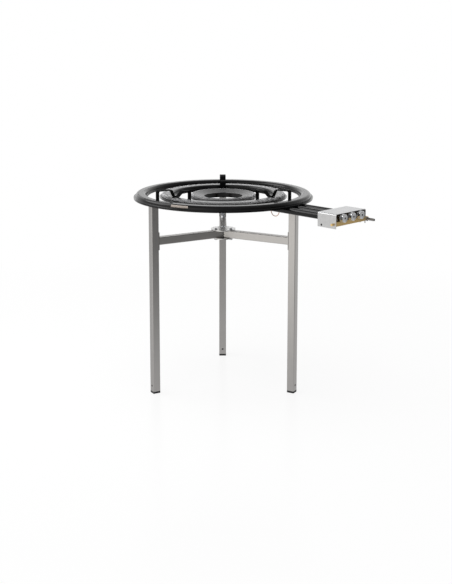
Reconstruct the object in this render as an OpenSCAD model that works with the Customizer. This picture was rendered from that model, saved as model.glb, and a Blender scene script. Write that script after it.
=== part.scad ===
// Three-ring gas paella burner on a tripod with arms that fold round a bolted hub.
// Millimetres, +Z up. The origin lies on the floor, below the common axis of the rings.

/* [Burner rings] */
// Height of the ring lips over the floor
lip_z = 767; // [700:1:850]
// Radius over the lip of the outer ring
outer_ring_r = 360; // [345:1:380]
// Clear gap between the outer and the middle ring, on a burner of the usual radius
outer_gap = 47; // [42:1:52]
// Clear gap between the middle and the inner ring, on a burner of the usual radius
inner_gap = 57; // [50:1:62]
// Radial width of the outer gas channel
outer_channel_w = 42; // [40:1:46]
// Radial width of the middle gas channel
middle_channel_w = 46; // [42:1:50]
// Radial width of the inner gas channel
inner_channel_w = 46; // [42:1:50]
// Height of the outer ring's dome over the lip
dome_h = 18; // [17:1:24]
// Height of the middle ring's dome over the lip
middle_dome_h = 14; // [11:1:18]
// Height of the dished inner ring's crest over the lip
inner_dome_h = 11; // [10:1:16]
// Depth of the outer ring's pan under the lip
pan_h = 4; // [4:1:8]
// Depth of the middle ring's pan under the lip
middle_pan_h = 11; // [4:1:12]
// Depth of the inner ring's pan under the lip
inner_pan_h = 20; // [14:1:22]
// Radius of the rounded shoulders of the outer dome
shoulder_r = 12; // [10:1:15]
// Radius of the rounded shoulders of the two low domes
low_shoulder_r = 8; // [6:1:8]
// Width of the lip outside the channel
outer_lip_w = 8; // [6:1:9]
// Width of the lip inside the channel
inner_lip_w = 7; // [5:1:7]
// Thickness of the pressed ring sheet
ring_sheet_t = 1.5; // [1.2:0.1:2]
// Diameter of one flame port
port_d = 3; // [2:0.5:4]
// Pitch between neighbouring flame ports in a row
port_pitch = 24; // [18:1:40]

/* [Pan supports] */
// Height of the pan resting flats over the lip
rest_h = 46; // [42:1:56]
// Height of the inner hump over the lip
hump_h = 37; // [32:1:40]
// Width of a support strip
strip_w = 25; // [20:1:30]
// Thickness of a support strip
strip_t = 3; // [2.5:0.5:4]
// Length of the tongue that hangs inside the leg
tongue_h = 14; // [10:1:45]

/* [Stand] */
// Inset of the leg centres from the lip of the outer ring
leg_inset = 46; // [43:1:50]
// Side of the square leg and crossbar tubes
tube_w = 30; // [25:1:32]
// Wall of the square tubes
tube_wall = 1.5; // [1.2:0.1:2]
// Height of the top of the crossbars over the floor
crossbar_z = 630; // [500:1:680]
// Radius of the hub plates
hub_r = 50; // [48:1:56]
// Thickness of the hub plates
hub_t = 4; // [3:0.5:5]
// Radius of the circle through the hub bolts
hub_bolt_circle_r = 35; // [34:0.5:37]
// Diameter of the hub bolts
hub_bolt_d = 8; // [6:1:8]
// Height of the foot caps under the legs
foot_h = 8; // [5:1:12]

/* [Feed tubes and control box] */
// Direction of the feed tubes, seen from above
feed_angle = -46; // [-50:0.5:-45]
// Pitch between neighbouring feed tubes and taps
feed_pitch = 50; // [46:0.5:52]
// Outside diameter of the feed tubes
feed_d = 25; // [22:0.5:25]
// Wall of the feed tubes
feed_wall = 2; // [1.5:0.1:2.5]
// Drop of the feed tube axes under the ring lips
feed_drop = 14.5; // [14.5:0.5:18]
// Reach of the front of the control box past the lip of the outer ring
box_reach = 253; // [240:1:300]
// Depth of the control box
box_d = 86; // [84:1:100]
// Width of the control box
box_w = 172; // [164:1:184]
// Height of the control box
box_h = 54; // [52:1:60]
// Thickness of the control box sheet
box_sheet_t = 1.2; // [1:0.1:1.6]
// Diameter of the tap knobs
knob_d = 30; // [26:0.5:32]
// Length of the tap knobs
knob_l = 16; // [14:0.5:18]
// Push travel of a knob before it turns
push_travel = 2.5; // [1.5:0.1:3]
// Side of the brass manifold bar
manifold_w = 16; // [14:0.5:17]
// Diameter of the hose tail of the gas inlet
hose_tail_d = 9; // [8:0.5:11]

/* [Hidden] */
$fn = 96;
eps = 0.01;

full_turn = 360;

// Clearances
running_gap = 0.05;
seat_gap = 0.3;
weld_gap = 0.15;
drill_gap = 0.2;
swing_gap = 1.4;

// Angles of the arms, one leg and one pan support on each
arm_names = ["back", "left", "right"];
arm_angles = [90, 210, 330];

// Ring profile
lip_fillet = 3;
hem_h = 4.5;
pan_taper = 5;
outer_half = outer_channel_w / 2;
middle_half = middle_channel_w / 2;
inner_half = inner_channel_w / 2;
usual_ring_r = 360;
gap_share = outer_ring_r / usual_ring_r;
outer_mid_r = outer_ring_r - outer_lip_w - outer_half;
middle_ring_r = outer_mid_r - outer_half - inner_lip_w - outer_gap * gap_share;
middle_mid_r = middle_ring_r - outer_lip_w - middle_half;
inner_ring_r = middle_mid_r - middle_half - inner_lip_w - inner_gap * gap_share;
inner_mid_r = inner_ring_r - outer_lip_w - inner_half;
port_row_share = 0.5;
pan_z = lip_z - pan_h;
inner_pan_z = lip_z - inner_pan_h;

// Each ring: middle radius, half width, dome height, shoulder radius, pan depth,
// fall of its top to the inside and height of its hem, none where it is 0
inner_fall = inner_dome_h - ring_sheet_t;
outer_ring = [outer_mid_r, outer_half, dome_h, shoulder_r, pan_h, 0, hem_h];
middle_ring = [middle_mid_r, middle_half, middle_dome_h, low_shoulder_r, middle_pan_h, 0, 0];
inner_ring = [inner_mid_r, inner_half, inner_dome_h, low_shoulder_r, inner_pan_h, inner_fall, 0];
function mid_r_of(ring) = ring[0];
function half_of(ring) = ring[1];
function height_of(ring) = ring[2];
function shoulder_of(ring) = ring[3];
function depth_of(ring) = ring[4];
function fall_of(ring) = ring[5];
function hem_of(ring) = ring[6];

// Pan support strip, outer end to inner end
leg_circle_r = outer_ring_r - leg_inset;
leg_inner_r = leg_circle_r - tube_w / 2;
tongue_r = leg_inner_r - swing_gap;
rest_l = 60;
seat_l = 18;
seat_rivet_inset = 9;
strip_bend_r = 6;
strip_bend_steps = 6;
hump_run = 20;
hump_l = 32;
inner_foot_inset = 6;
rest_inner_r = tongue_r - rest_l;
seat_outer_r = middle_mid_r;
seat_inner_r = seat_outer_r - seat_l;
hump_outer_r = seat_inner_r - hump_run;
hump_inner_r = hump_outer_r - hump_l;
inner_foot_r = inner_mid_r + inner_foot_inset;
rivet_d = 5;
rivet_head_d = 8;
rivet_head_h = 2.5;

// Square tubes and their joints
tube_corner_r = 2.5;
tube_inner_corner_r = 1;
bar_end_l = 24;
bar_inner_r = hub_bolt_circle_r - bar_end_l;
cleat_t = 2.5;
cleat_reach = 20;
cleat_bolt_inset = 9;
cleat_bolt_d = 6;
cleat_head_d = 11;
cleat_head_h = 3;
cleat_washer_d = 18;
cleat_washer_t = 1;
cleat_bolt_l = 16;
bar_outer_r = leg_inner_r - cleat_t;
bar_mid_z = crossbar_z - tube_w / 2;
leg_top_z = pan_z - seat_gap;
foot_plug_h = 26;
foot_rivet_z = 30;
foot_rivet_d = 5;
foot_rivet_head_d = 8;
foot_rivet_head_h = 1.5;
hub_bottom_r = 43;
hub_head_d = 15;
hub_head_h = 4.5;
hub_socket_af = 5;
hub_socket_h = 3;
hub_nut_af = 13;
hub_nut_h = 4;
hub_thread_out = 1;
hub_top_z = crossbar_z + seat_gap;
hub_bottom_z = crossbar_z - tube_w - seat_gap;
hex_share = 1 / cos(30);

// Feed tubes, laid out from the ring axis outward
feed_r = feed_d / 2;
feed_z = lip_z - feed_drop;
box_front = outer_ring_r + box_reach;
feed_slots = [2 * feed_pitch, feed_pitch, 0];
tap_room = 49;
feed_end = box_front - tap_room;
feed_end_t = 3;
outer_tube_inset = 12;
outer_tube_end_r = outer_mid_r + outer_tube_inset;
feed_starts = [
    along(outer_tube_end_r, feed_slots[0]),
    along(middle_mid_r, feed_slots[1]),
    along(inner_mid_r, feed_slots[2])
];
gas_window_l = 14;
gas_window_w = 14;
air_window_l = 15;
air_window_w = 15;
air_window_inset = 6;
air_window_end = feed_end - air_window_inset;
function along(radius, side) = sqrt(radius * radius - side * side);

// Control box
box_back = box_front - box_d;
box_mid_y = feed_slots[1];
box_rise = 9;
box_top_z = lip_z + box_rise;
box_bottom_z = box_top_z - box_h;
box_corner_r = 6;
back_plate_inset = 10;
back_plate_x = box_back + back_plate_inset;
back_plate_t = 2;
back_flange_l = 18;
box_screw_inset = 8;
box_screw_x = back_plate_x + box_screw_inset;
box_screw_z = box_bottom_z + box_screw_inset;
box_screw_d = 4;
box_screw_head_d = 8;
box_screw_head_h = 2.6;
box_screw_l = 8;

// Taps
tap_rise = 6;
tap_z = feed_z + tap_rise;
barrel_r = 11;
barrel_inset = 5;
barrel_gap = 6;
barrel_end_t = 8;
barrel_front = box_front - barrel_inset;
barrel_back = feed_end + barrel_gap;
barrel_l = barrel_front - barrel_back;
nose_r = 5;
nose_bore_r = 2.5;
nose_out = 2;
nose_l = barrel_back - feed_end + feed_end_t + nose_out;
stem_r = 6;
stem_bore_r = 3;
stem_l = 2;
plug_r = 7.5;
plug_gap = 0.09;
plug_l = 22;
plug_port_r = 1.5;
plug_port_inset = 5.5;
plug_back = barrel_back + barrel_end_t;
plug_front = plug_back + plug_l;
plug_bore_r = 4.3;
plug_bore_l = 15;
spindle_r = 4;
spindle_flat = 1.2;
spring_wire_r = 0.5;
spring_r = 3.1;
spring_l = 5.5;
spring_turns = 3;
coil_sides = 6;
coil_steps_per_turn = 14;
coil_steps = coil_steps_per_turn * spring_turns;
coil_rise = spring_l - 2 * spring_wire_r;
knob_clear = 0.5;
knob_gap = push_travel + knob_clear;
knob_back = barrel_front + knob_gap;
knob_front = knob_back + knob_l;
spindle_back = plug_front - plug_bore_l + spring_l + push_travel + seat_gap;
spindle_inset = 2;
spindle_l = knob_front - spindle_inset - spindle_back;
knob_edge = 2;
knob_skirt_l = 4;
knob_skirt_out = 0.6;
knob_rim_w = 4;
knob_dish_r = knob_d / 2 - knob_rim_w;
knob_dish_h = 1;
knob_mark_w = 2;
knob_mark_h = 0.8;
tap_names = ["outer", "middle", "inner"];

// Manifold and gas inlet
manifold_end_gap = 4;
manifold_out = 16;
manifold_x = barrel_front - manifold_w / 2;
manifold_top_z = tap_z - barrel_r - stem_l;
manifold_z = manifold_top_z - manifold_w / 2;
manifold_left = box_mid_y - box_w / 2 + manifold_end_gap;
manifold_right = box_mid_y + box_w / 2 + manifold_out;
end_plug_r = 4.5;
manifold_bore_r = end_plug_r + running_gap;
end_plug_l = 4.5;
end_plug_out = 14;
inlet_inset = 9;
inlet_spigot_l = 4;
inlet_bore_r = 4;
inlet_y = manifold_right - inlet_inset;
inlet_hex_af = 14;
inlet_hex_l = 10;
hose_tail_l = 30;
hose_bore_r = 3;
hose_barbs = 4;
hose_barb_out = 0.9;

// Injectors in the noses of the taps
injector_af = 8;
injector_l = 5;
jet_r = 0.7;
injector_hex_back = barrel_back - nose_l - injector_l;

// Thermocouple lead, clipped along the far side of the inner ring's feed tube
lead_r = 1.5;
lead_tip_r = 3;
lead_y = feed_slots[2] + feed_r + lead_tip_r + seat_gap;
lead_drop = 6;
lead_z = feed_z - lead_drop;
lead_loop_r = 21;
lead_loop_inset = 30;
lead_loop_x = leg_inner_r - lead_loop_inset;
lead_bend_r = 7;
lead_tip_gap = 12;
lead_tip_x = along(inner_ring_r, lead_y) + lead_tip_gap;
lead_tip_h = 22;
lead_rear_inset = 40;
lead_rear = box_front - lead_rear_inset;

// Blank plate on the front of the outer ring
plate_angle = 241.5;
plate_span = 12;
plate_t = 0.4;
plate_clear = 2.5;
blank_h = 8;
plate_low = ring_sheet_t + lip_fillet + plate_clear;

// Colours
enamel = [0.07, 0.07, 0.08];
stainless = [0.62, 0.61, 0.6];
zinc = [0.78, 0.79, 0.8];
chrome = [0.86, 0.87, 0.89];
brass = [0.72, 0.55, 0.25];
copper = [0.75, 0.48, 0.36];
rubber = [0.05, 0.05, 0.05];
card = [0.74, 0.69, 0.63];

// Shared shapes

// Square outline with rounded corners, centred
module rounded_square(w, r) {
    square([w, w - 2 * r], center = true);
    square([w - 2 * r, w], center = true);
    for (x = [-1, 1], y = [-1, 1])
        translate([x * (w / 2 - r), y * (w / 2 - r)])
            circle(r, $fn = 32);
}

// Square tube along +Z from the floor of its frame
module square_tube(length) {
    linear_extrude(length)
        difference() {
            rounded_square(tube_w, tube_corner_r);
            rounded_square(tube_w - 2 * tube_wall, tube_inner_corner_r);
        }
}

// Hexagonal prism along +Z with a size across the flats
module hex_prism(af, h) {
    cylinder(d = af * hex_share, h = h, $fn = 6);
}

// Low domed head, flat side at z = 0, seen from +Z
module domed_head(d, h) {
    sphere_r = (d * d / 4 + h * h) / (2 * h);
    intersection() {
        translate([0, 0, h - sphere_r])
            sphere(sphere_r);
        cylinder(d = d, h = h);
    }
}

// Frame of one arm: +X runs outward along the arm
module on_arm(i) {
    rotate([0, 0, arm_angles[i]])
        children();
}

// Frame of the feed tubes: +X runs outward along them, at floor level
module on_feed() {
    rotate([0, 0, feed_angle])
        children();
}

// Frame of one tap: +Z runs outward along its spindle, +X points down
module on_tap(i, x) {
    on_feed()
        translate([x, feed_slots[i], tap_z])
            rotate([0, 90, 0])
                children();
}

// Frame of one tap's nose, on the axis of its feed tube
module on_nose(i, x) {
    on_feed()
        translate([x, feed_slots[i], feed_z])
            rotate([0, 90, 0])
                children();
}

// Stand

module hub_disc(r, z) {
    difference() {
        translate([0, 0, z])
            cylinder(r = r, h = hub_t);
        for (i = [0:2])
            on_arm(i)
                translate([hub_bolt_circle_r, 0, z - eps])
                    cylinder(d = hub_bolt_d + 2 * running_gap, h = hub_t + 2 * eps);
    }
}

module hub_plate_top() {
    color(stainless)
        hub_disc(hub_r, hub_top_z);
}

module hub_plate_bottom() {
    color(stainless)
        hub_disc(hub_bottom_r, hub_bottom_z - hub_t);
}

module hub_bolt() {
    shank_bottom = hub_bottom_z - hub_t - hub_nut_h - hub_thread_out;
    shank_top = hub_top_z + hub_t;
    difference() {
        union() {
            translate([0, 0, shank_bottom])
                cylinder(d = hub_bolt_d, h = shank_top - shank_bottom + eps);
            translate([0, 0, shank_top])
                domed_head(hub_head_d, hub_head_h);
        }
        translate([0, 0, shank_top + hub_head_h - hub_socket_h])
            hex_prism(hub_socket_af, hub_socket_h + eps);
    }
}

module hub_bolts() {
    color(zinc)
        for (i = [0:2])
            on_arm(i)
                translate([hub_bolt_circle_r, 0, 0])
                    hub_bolt();
}

module hub_nuts() {
    color(zinc)
        for (i = [0:2])
            on_arm(i)
                translate([hub_bolt_circle_r, 0, hub_bottom_z - hub_t - hub_nut_h])
                    difference() {
                        hex_prism(hub_nut_af, hub_nut_h);
                        translate([0, 0, -eps])
                            cylinder(d = hub_bolt_d + 2 * running_gap, h = hub_nut_h + 2 * eps);
                    }
}

module crossbar(i) {
    color(stainless)
        on_arm(i)
            difference() {
                translate([bar_inner_r, 0, bar_mid_z])
                    rotate([0, 90, 0])
                        square_tube(bar_outer_r - bar_inner_r);
                translate([hub_bolt_circle_r, 0, crossbar_z - tube_w - eps])
                    cylinder(d = hub_bolt_d + 2 * running_gap, h = tube_w + 2 * eps);
            }
}

// Heights of the two bolts of a cleat
function cleat_bolt_heights() = [
    crossbar_z + cleat_reach - cleat_bolt_inset,
    crossbar_z - tube_w - cleat_reach + cleat_bolt_inset
];

module leg(i) {
    color(stainless)
        on_arm(i)
            translate([leg_circle_r, 0, 0])
                difference() {
                    translate([0, 0, foot_h])
                        square_tube(leg_top_z - foot_h);
                    for (z = cleat_bolt_heights())
                        translate([-tube_w / 2 - eps, 0, z])
                            rotate([0, 90, 0])
                                cylinder(d = cleat_bolt_d + 2 * drill_gap, h = 2 * tube_wall);
                    translate([-tube_w, 0, foot_rivet_z])
                        rotate([0, 90, 0])
                            cylinder(d = foot_rivet_d + 2 * drill_gap, h = 2 * tube_w);
                }
}

module cleat(i) {
    cleat_h = tube_w + 2 * cleat_reach;
    color(stainless)
        on_arm(i)
            difference() {
                translate([bar_outer_r, -tube_w / 2, crossbar_z - tube_w - cleat_reach])
                    cube([cleat_t, tube_w, cleat_h]);
                for (z = cleat_bolt_heights())
                    translate([bar_outer_r - eps, 0, z])
                        rotate([0, 90, 0])
                            cylinder(d = cleat_bolt_d + 2 * drill_gap, h = cleat_t + 2 * eps);
            }
}

module cleat_bolts(i) {
    color(zinc)
        on_arm(i)
            for (z = cleat_bolt_heights())
                translate([bar_outer_r, 0, z])
                    rotate([0, -90, 0]) {
                        cylinder(d = cleat_washer_d, h = cleat_washer_t);
                        translate([0, 0, cleat_washer_t - eps])
                            hex_prism(cleat_head_d, cleat_head_h);
                        translate([0, 0, -cleat_bolt_l])
                            cylinder(d = cleat_bolt_d, h = cleat_bolt_l + eps);
                    }
}

module foot(i) {
    plug_w = tube_w - 2 * tube_wall - 2 * drill_gap;
    color(rubber)
        on_arm(i)
            translate([leg_circle_r, 0, 0])
                difference() {
                    union() {
                        linear_extrude(foot_h)
                            rounded_square(tube_w, tube_corner_r);
                        translate([0, 0, foot_h - eps])
                            linear_extrude(foot_plug_h)
                                rounded_square(plug_w, tube_inner_corner_r);
                    }
                    translate([-tube_w, 0, foot_rivet_z])
                        rotate([0, 90, 0])
                            cylinder(d = foot_rivet_d + 2 * drill_gap, h = 2 * tube_w);
                }
}

module foot_rivet(i) {
    color(zinc)
        on_arm(i)
            translate([leg_circle_r, 0, foot_rivet_z])
                rotate([0, 90, 0]) {
                    cylinder(d = foot_rivet_d, h = tube_w + 2 * eps, center = true);
                    for (flip = [0, 180])
                        rotate([flip, 0, 0])
                            translate([0, 0, tube_w / 2])
                                domed_head(foot_rivet_head_d, foot_rivet_head_h);
                }
}

// Rings

// Section of a ring's dome, lip level at y = 0, channel centre at x = 0, grown by g
module dome_outline(ring, g) {
    w = half_of(ring) + g;
    h = height_of(ring) + g;
    r = shoulder_of(ring) + g;
    translate([-w, 0])
        square([2 * w, h - r]);
    translate([-w + r, 0])
        square([2 * (w - r), h]);
    for (side = [-1, 1])
        translate([side * (w - r), h - r])
            circle(r);
}

// Room under a ring's top face, which is level or falls to the inside, lowered by g
module top_room(ring, g) {
    w = half_of(ring);
    h = height_of(ring) - g;
    crest_x = w - shoulder_of(ring);
    polygon([[-w, 0], [-w, h - fall_of(ring)], [crest_x, h], [w, h], [w, 0]]);
}

// Foot of the dome where it flares into a lip
module lip_flare(half, side) {
    difference() {
        translate([side > 0 ? half - eps : -half - lip_fillet, 0])
            square([lip_fillet + eps, ring_sheet_t + lip_fillet]);
        translate([side * (half + lip_fillet), ring_sheet_t + lip_fillet])
            circle(lip_fillet);
    }
}

module dome_section(ring) {
    half = half_of(ring);
    difference() {
        union() {
            intersection() {
                dome_outline(ring, 0);
                top_room(ring, 0);
            }
            translate([-half - inner_lip_w, 0])
                square([2 * half + inner_lip_w + outer_lip_w, ring_sheet_t]);
            lip_flare(half, 1);
            if (fall_of(ring) == 0)
                lip_flare(half, -1);
        }
        intersection() {
            translate([0, -eps])
                dome_outline(ring, -ring_sheet_t);
            translate([0, -eps])
                top_room(ring, ring_sheet_t - eps);
        }
    }
}

// Section of a ring's pan, whose outer lip may end in a turned-down hem
module pan_section(ring) {
    t = ring_sheet_t;
    w = half_of(ring);
    b = w - pan_taper;
    d = depth_of(ring);
    rim = w + outer_lip_w;
    hem = hem_of(ring);
    edge = hem > 0 ? [[rim - t, -t], [rim - t, -hem], [rim, -hem]] : [[rim, -t]];
    polygon(concat(
        [[-w - inner_lip_w, 0], [-w - inner_lip_w, -t], [-w, -t], [-b, -d], [b, -d], [w, -t]],
        edge,
        [[rim, 0], [w - t, 0], [b - t, -d + t], [-b + t, -d + t], [-w + t, 0]]
    ));
}

// Clear path for the feed tubes that cross or enter a ring
module feed_notches() {
    on_feed()
        for (i = [0:2])
            translate([feed_starts[i] - weld_gap, feed_slots[i], feed_z])
                rotate([0, 90, 0])
                    cylinder(r = feed_r + weld_gap, h = feed_end);
}

// Two staggered rows of flame ports through the flat crown of a dome
module flame_ports(ring) {
    count = round(2 * PI * mid_r_of(ring) / port_pitch);
    row_offset = (half_of(ring) - shoulder_of(ring)) * port_row_share;
    for (i = [0:count - 1], side = [0, 1])
        rotate([0, 0, (i + side / 2) * full_turn / count])
            translate([mid_r_of(ring) + (2 * side - 1) * row_offset, 0, lip_z])
                cylinder(d = port_d, h = height_of(ring) + ring_sheet_t, $fn = 16);
}

module ring_top(ring) {
    color(enamel)
        difference() {
            translate([0, 0, lip_z])
                rotate_extrude()
                    translate([mid_r_of(ring), 0])
                        dome_section(ring);
            flame_ports(ring);
            support_rivet_holes();
        }
}

module ring_pan(ring) {
    color(enamel)
        difference() {
            translate([0, 0, lip_z])
                rotate_extrude()
                    translate([mid_r_of(ring), 0])
                        pan_section(ring);
            feed_notches();
            support_rivet_holes();
        }
}

module outer_ring_top() {
    ring_top(outer_ring);
}

module outer_ring_pan() {
    ring_pan(outer_ring);
}

module middle_ring_top() {
    ring_top(middle_ring);
}

module middle_ring_pan() {
    ring_pan(middle_ring);
}

module inner_ring_top() {
    ring_top(inner_ring);
}

module inner_ring_pan() {
    ring_pan(inner_ring);
}

module blank_plate() {
    color(card)
        translate([0, 0, lip_z])
            rotate([0, 0, plate_angle - plate_span / 2])
                rotate_extrude(angle = plate_span)
                    translate([outer_mid_r, 0])
                        intersection() {
                            difference() {
                                dome_outline(outer_ring, plate_t + weld_gap);
                                dome_outline(outer_ring, weld_gap);
                            }
                            translate([0, plate_low])
                                square([outer_channel_w, blank_h]);
                        }
}

// Pan supports

// Centre line of a strip as radius and height over the lip, outer end first
rest_line = rest_h - strip_t / 2;
hump_line = hump_h - strip_t / 2;
seat_line = middle_dome_h + strip_t / 2;
foot_line = -inner_pan_h - strip_t / 2;
tongue_line_r = tongue_r - strip_t / 2;
strip_path = [
    [tongue_line_r, -pan_h - tongue_h],
    [tongue_line_r, rest_line],
    [rest_inner_r, rest_line],
    [seat_outer_r, seat_line],
    [seat_inner_r, seat_line],
    [hump_outer_r, hump_line],
    [hump_inner_r, hump_line],
    [hump_inner_r, foot_line],
    [inner_foot_r, foot_line]
];

// Direction of leg k of the strip, in degrees
function leg_angle(k) =
    let (d = strip_path[k + 1] - strip_path[k])
    atan2(d[1], d[0]);

// Turn of the strip at point k, between -180 and 180 degrees
function bend_turn(k) =
    let (turn = leg_angle(k) - leg_angle(k - 1))
    turn > 180 ? turn - 360 : turn < -180 ? turn + 360 : turn;

// Unit vector to the left of a direction
function left_of(angle) = [-sin(angle), cos(angle)];

// Points of one face of the strip, at an offset to the left of its centre line
function strip_face(offset) =
    let (last = len(strip_path) - 1)
    concat(
        [strip_path[0] + offset * left_of(leg_angle(0))],
        [
            for (k = [1:last - 1])
                let (turn = bend_turn(k), side = sign(turn), start = leg_angle(k - 1))
                let (back = strip_bend_r * tan(abs(turn) / 2))
                let (tangent = strip_path[k] - back * [cos(start), sin(start)])
                let (centre = tangent + side * strip_bend_r * left_of(start))
                for (j = [0:strip_bend_steps])
                    let (angle = start + turn * j / strip_bend_steps)
                    centre + (offset - side * strip_bend_r) * left_of(angle)
        ],
        [strip_path[last] + offset * left_of(leg_angle(last - 1))]
    );

// Points of a list in reverse order
function reversed(list) = [for (k = [len(list) - 1:-1:0]) list[k]];

module pan_support(i) {
    outline = concat(strip_face(strip_t / 2), reversed(strip_face(-strip_t / 2)));
    color(enamel)
        difference() {
            on_arm(i)
                translate([0, 0, lip_z])
                    rotate([90, 0, 0])
                        linear_extrude(strip_w, center = true)
                            polygon(outline);
            support_rivet_holes();
        }
}

// Radius and level of the rivets on one arm: the ring seat and the foot under the inner ring
seat_rivet_r = seat_outer_r - seat_rivet_inset;
foot_rivet_r = inner_foot_r + rivet_head_d / 2;

module support_rivet_holes() {
    hole_d = rivet_d + 2 * drill_gap;
    for (i = [0:2])
        on_arm(i) {
            translate([seat_rivet_r, 0, lip_z + middle_dome_h - 2 * ring_sheet_t])
                cylinder(d = hole_d, h = 2 * ring_sheet_t + 2 * strip_t);
            translate([foot_rivet_r, 0, inner_pan_z - 2 * strip_t])
                cylinder(d = hole_d, h = 2 * strip_t + 2 * ring_sheet_t);
        }
}

// Rivet along +Z through a grip, a domed head at both ends
module rivet(grip) {
    translate([0, 0, -eps])
        cylinder(d = rivet_d, h = grip + 2 * eps);
    translate([0, 0, grip])
        domed_head(rivet_head_d, rivet_head_h);
    rotate([180, 0, 0])
        domed_head(rivet_head_d, rivet_head_h);
}

module support_rivets() {
    grip = strip_t + ring_sheet_t + 2 * running_gap;
    color(enamel)
        for (i = [0:2])
            on_arm(i) {
                translate([seat_rivet_r, 0, lip_z + middle_dome_h - ring_sheet_t - running_gap])
                    rivet(grip);
                translate([foot_rivet_r, 0, inner_pan_z - strip_t - running_gap])
                    rivet(grip);
            }
}

// Feed tubes

// Mixing tube, closed inside its ring, where a window on top lets the gas out
module feed_tube(i) {
    start = feed_starts[i];
    length = feed_end - start;
    color(enamel)
        on_feed()
            translate([start, feed_slots[i], feed_z])
                rotate([0, 90, 0])
                    difference() {
                        cylinder(r = feed_r, h = length);
                        translate([0, 0, feed_end_t])
                            cylinder(r = feed_r - feed_wall, h = length - 2 * feed_end_t);
                        translate([0, 0, length - 2 * feed_end_t])
                            cylinder(r = nose_r + drill_gap, h = 3 * feed_end_t);
                        translate([-feed_d, -gas_window_w / 2, feed_end_t])
                            cube([feed_d, gas_window_w, gas_window_l]);
                        translate([-air_window_w / 2, -feed_d, air_window_end - start - air_window_l])
                            cube([air_window_w, 2 * feed_d, air_window_l]);
                    }
}

module outer_feed_tube() {
    feed_tube(0);
}

module middle_feed_tube() {
    feed_tube(1);
}

module inner_feed_tube() {
    feed_tube(2);
}

// Control box

// Hood outline seen from the front, top at y = 0, grown by g
module hood_outline(g) {
    w = box_w + 2 * g;
    r = box_corner_r + g;
    translate([-w / 2, -box_h])
        square([w, box_h - box_corner_r]);
    translate([-w / 2 + r, -box_h])
        square([w - 2 * r, box_h + g]);
    for (side = [-1, 1])
        translate([side * (w / 2 - r), -box_corner_r])
            circle(r);
}

// Extrudes a front-view outline along the feed direction from x
module along_feed(x, length) {
    translate([x, box_mid_y, box_top_z])
        rotate([90, 0, 90])
            linear_extrude(length)
                children();
}

module box_cover() {
    color(zinc)
        on_feed()
            difference() {
                along_feed(box_back, box_d)
                    difference() {
                        hood_outline(0);
                        translate([0, -eps])
                            intersection() {
                                hood_outline(-box_sheet_t);
                                translate([-box_w, -2 * box_h])
                                    square([2 * box_w, 2 * box_h]);
                            }
                        translate([-box_w / 2 + box_sheet_t, -box_h - eps])
                            square([box_w - 2 * box_sheet_t, box_corner_r]);
                    }
                translate([manifold_x, box_mid_y, manifold_z])
                    manifold_ways();
                translate([box_screw_x, box_mid_y, box_screw_z])
                    rotate([90, 0, 0])
                        cylinder(d = box_screw_d + 2 * drill_gap, h = 2 * box_w, center = true);
            }
}

// Hole for the end plug on the left of the hood, open-bottomed slot for the bar on its right
module manifold_ways() {
    w = manifold_w + 2 * seat_gap;
    rotate([90, 0, 0])
        cylinder(r = end_plug_r + seat_gap, h = box_w);
    translate([-w / 2, 0, -box_h])
        cube([w, box_w, box_h + w / 2]);
}

module box_back_plate() {
    inside_w = box_w - 2 * box_sheet_t - 2 * weld_gap;
    plate_h = box_h - box_corner_r;
    color(zinc)
        on_feed()
            difference() {
                union() {
                    translate([back_plate_x, box_mid_y - inside_w / 2, box_bottom_z])
                        cube([back_plate_t, inside_w, plate_h]);
                    for (y = [-inside_w / 2, inside_w / 2 - back_plate_t])
                        translate([back_plate_x, box_mid_y + y, box_bottom_z])
                            cube([back_flange_l, back_plate_t, plate_h]);
                }
                for (y = feed_slots)
                    translate([back_plate_x - eps, y, feed_z])
                        rotate([0, 90, 0])
                            cylinder(r = feed_r + weld_gap, h = back_plate_t + 2 * eps);
                translate([back_plate_x - eps, lead_y, lead_z])
                    rotate([0, 90, 0])
                        cylinder(r = lead_r + seat_gap, h = back_plate_t + 2 * eps);
                translate([box_screw_x, box_mid_y, box_screw_z])
                    rotate([90, 0, 0])
                        cylinder(d = box_screw_d + 2 * drill_gap, h = 2 * box_w, center = true);
            }
}

module box_screws() {
    color(zinc)
        on_feed()
            for (side = [-1, 1])
                translate([box_screw_x, box_mid_y + side * box_w / 2, box_screw_z])
                    rotate([-side * 90, 0, 0]) {
                        domed_head(box_screw_head_d, box_screw_head_h);
                        translate([0, 0, -box_screw_l])
                            cylinder(d = box_screw_d, h = box_screw_l + eps);
                    }
}

// Gas side

module manifold() {
    length = manifold_right - manifold_left;
    color(brass)
        on_feed()
            difference() {
                translate([manifold_x - manifold_w / 2, manifold_left, manifold_z - manifold_w / 2])
                    cube([manifold_w, length, manifold_w]);
                translate([manifold_x, manifold_left - eps, manifold_z])
                    rotate([-90, 0, 0])
                        cylinder(r = manifold_bore_r, h = length + 2 * eps);
                for (y = feed_slots)
                    translate([manifold_x, y, manifold_z])
                        cylinder(r = stem_bore_r, h = manifold_w);
                translate([manifold_x, inlet_y, manifold_z])
                    rotate([0, 90, 0])
                        cylinder(r = inlet_bore_r, h = manifold_w);
            }
}

module manifold_plugs() {
    color(brass)
        on_feed()
            for (side = [-1, 1])
                translate([manifold_x, side > 0 ? manifold_right : manifold_left, manifold_z])
                    rotate([-side * 90, 0, 0])
                        translate([0, 0, -end_plug_l])
                            cylinder(r = end_plug_r, h = end_plug_l + end_plug_out);
}

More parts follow.
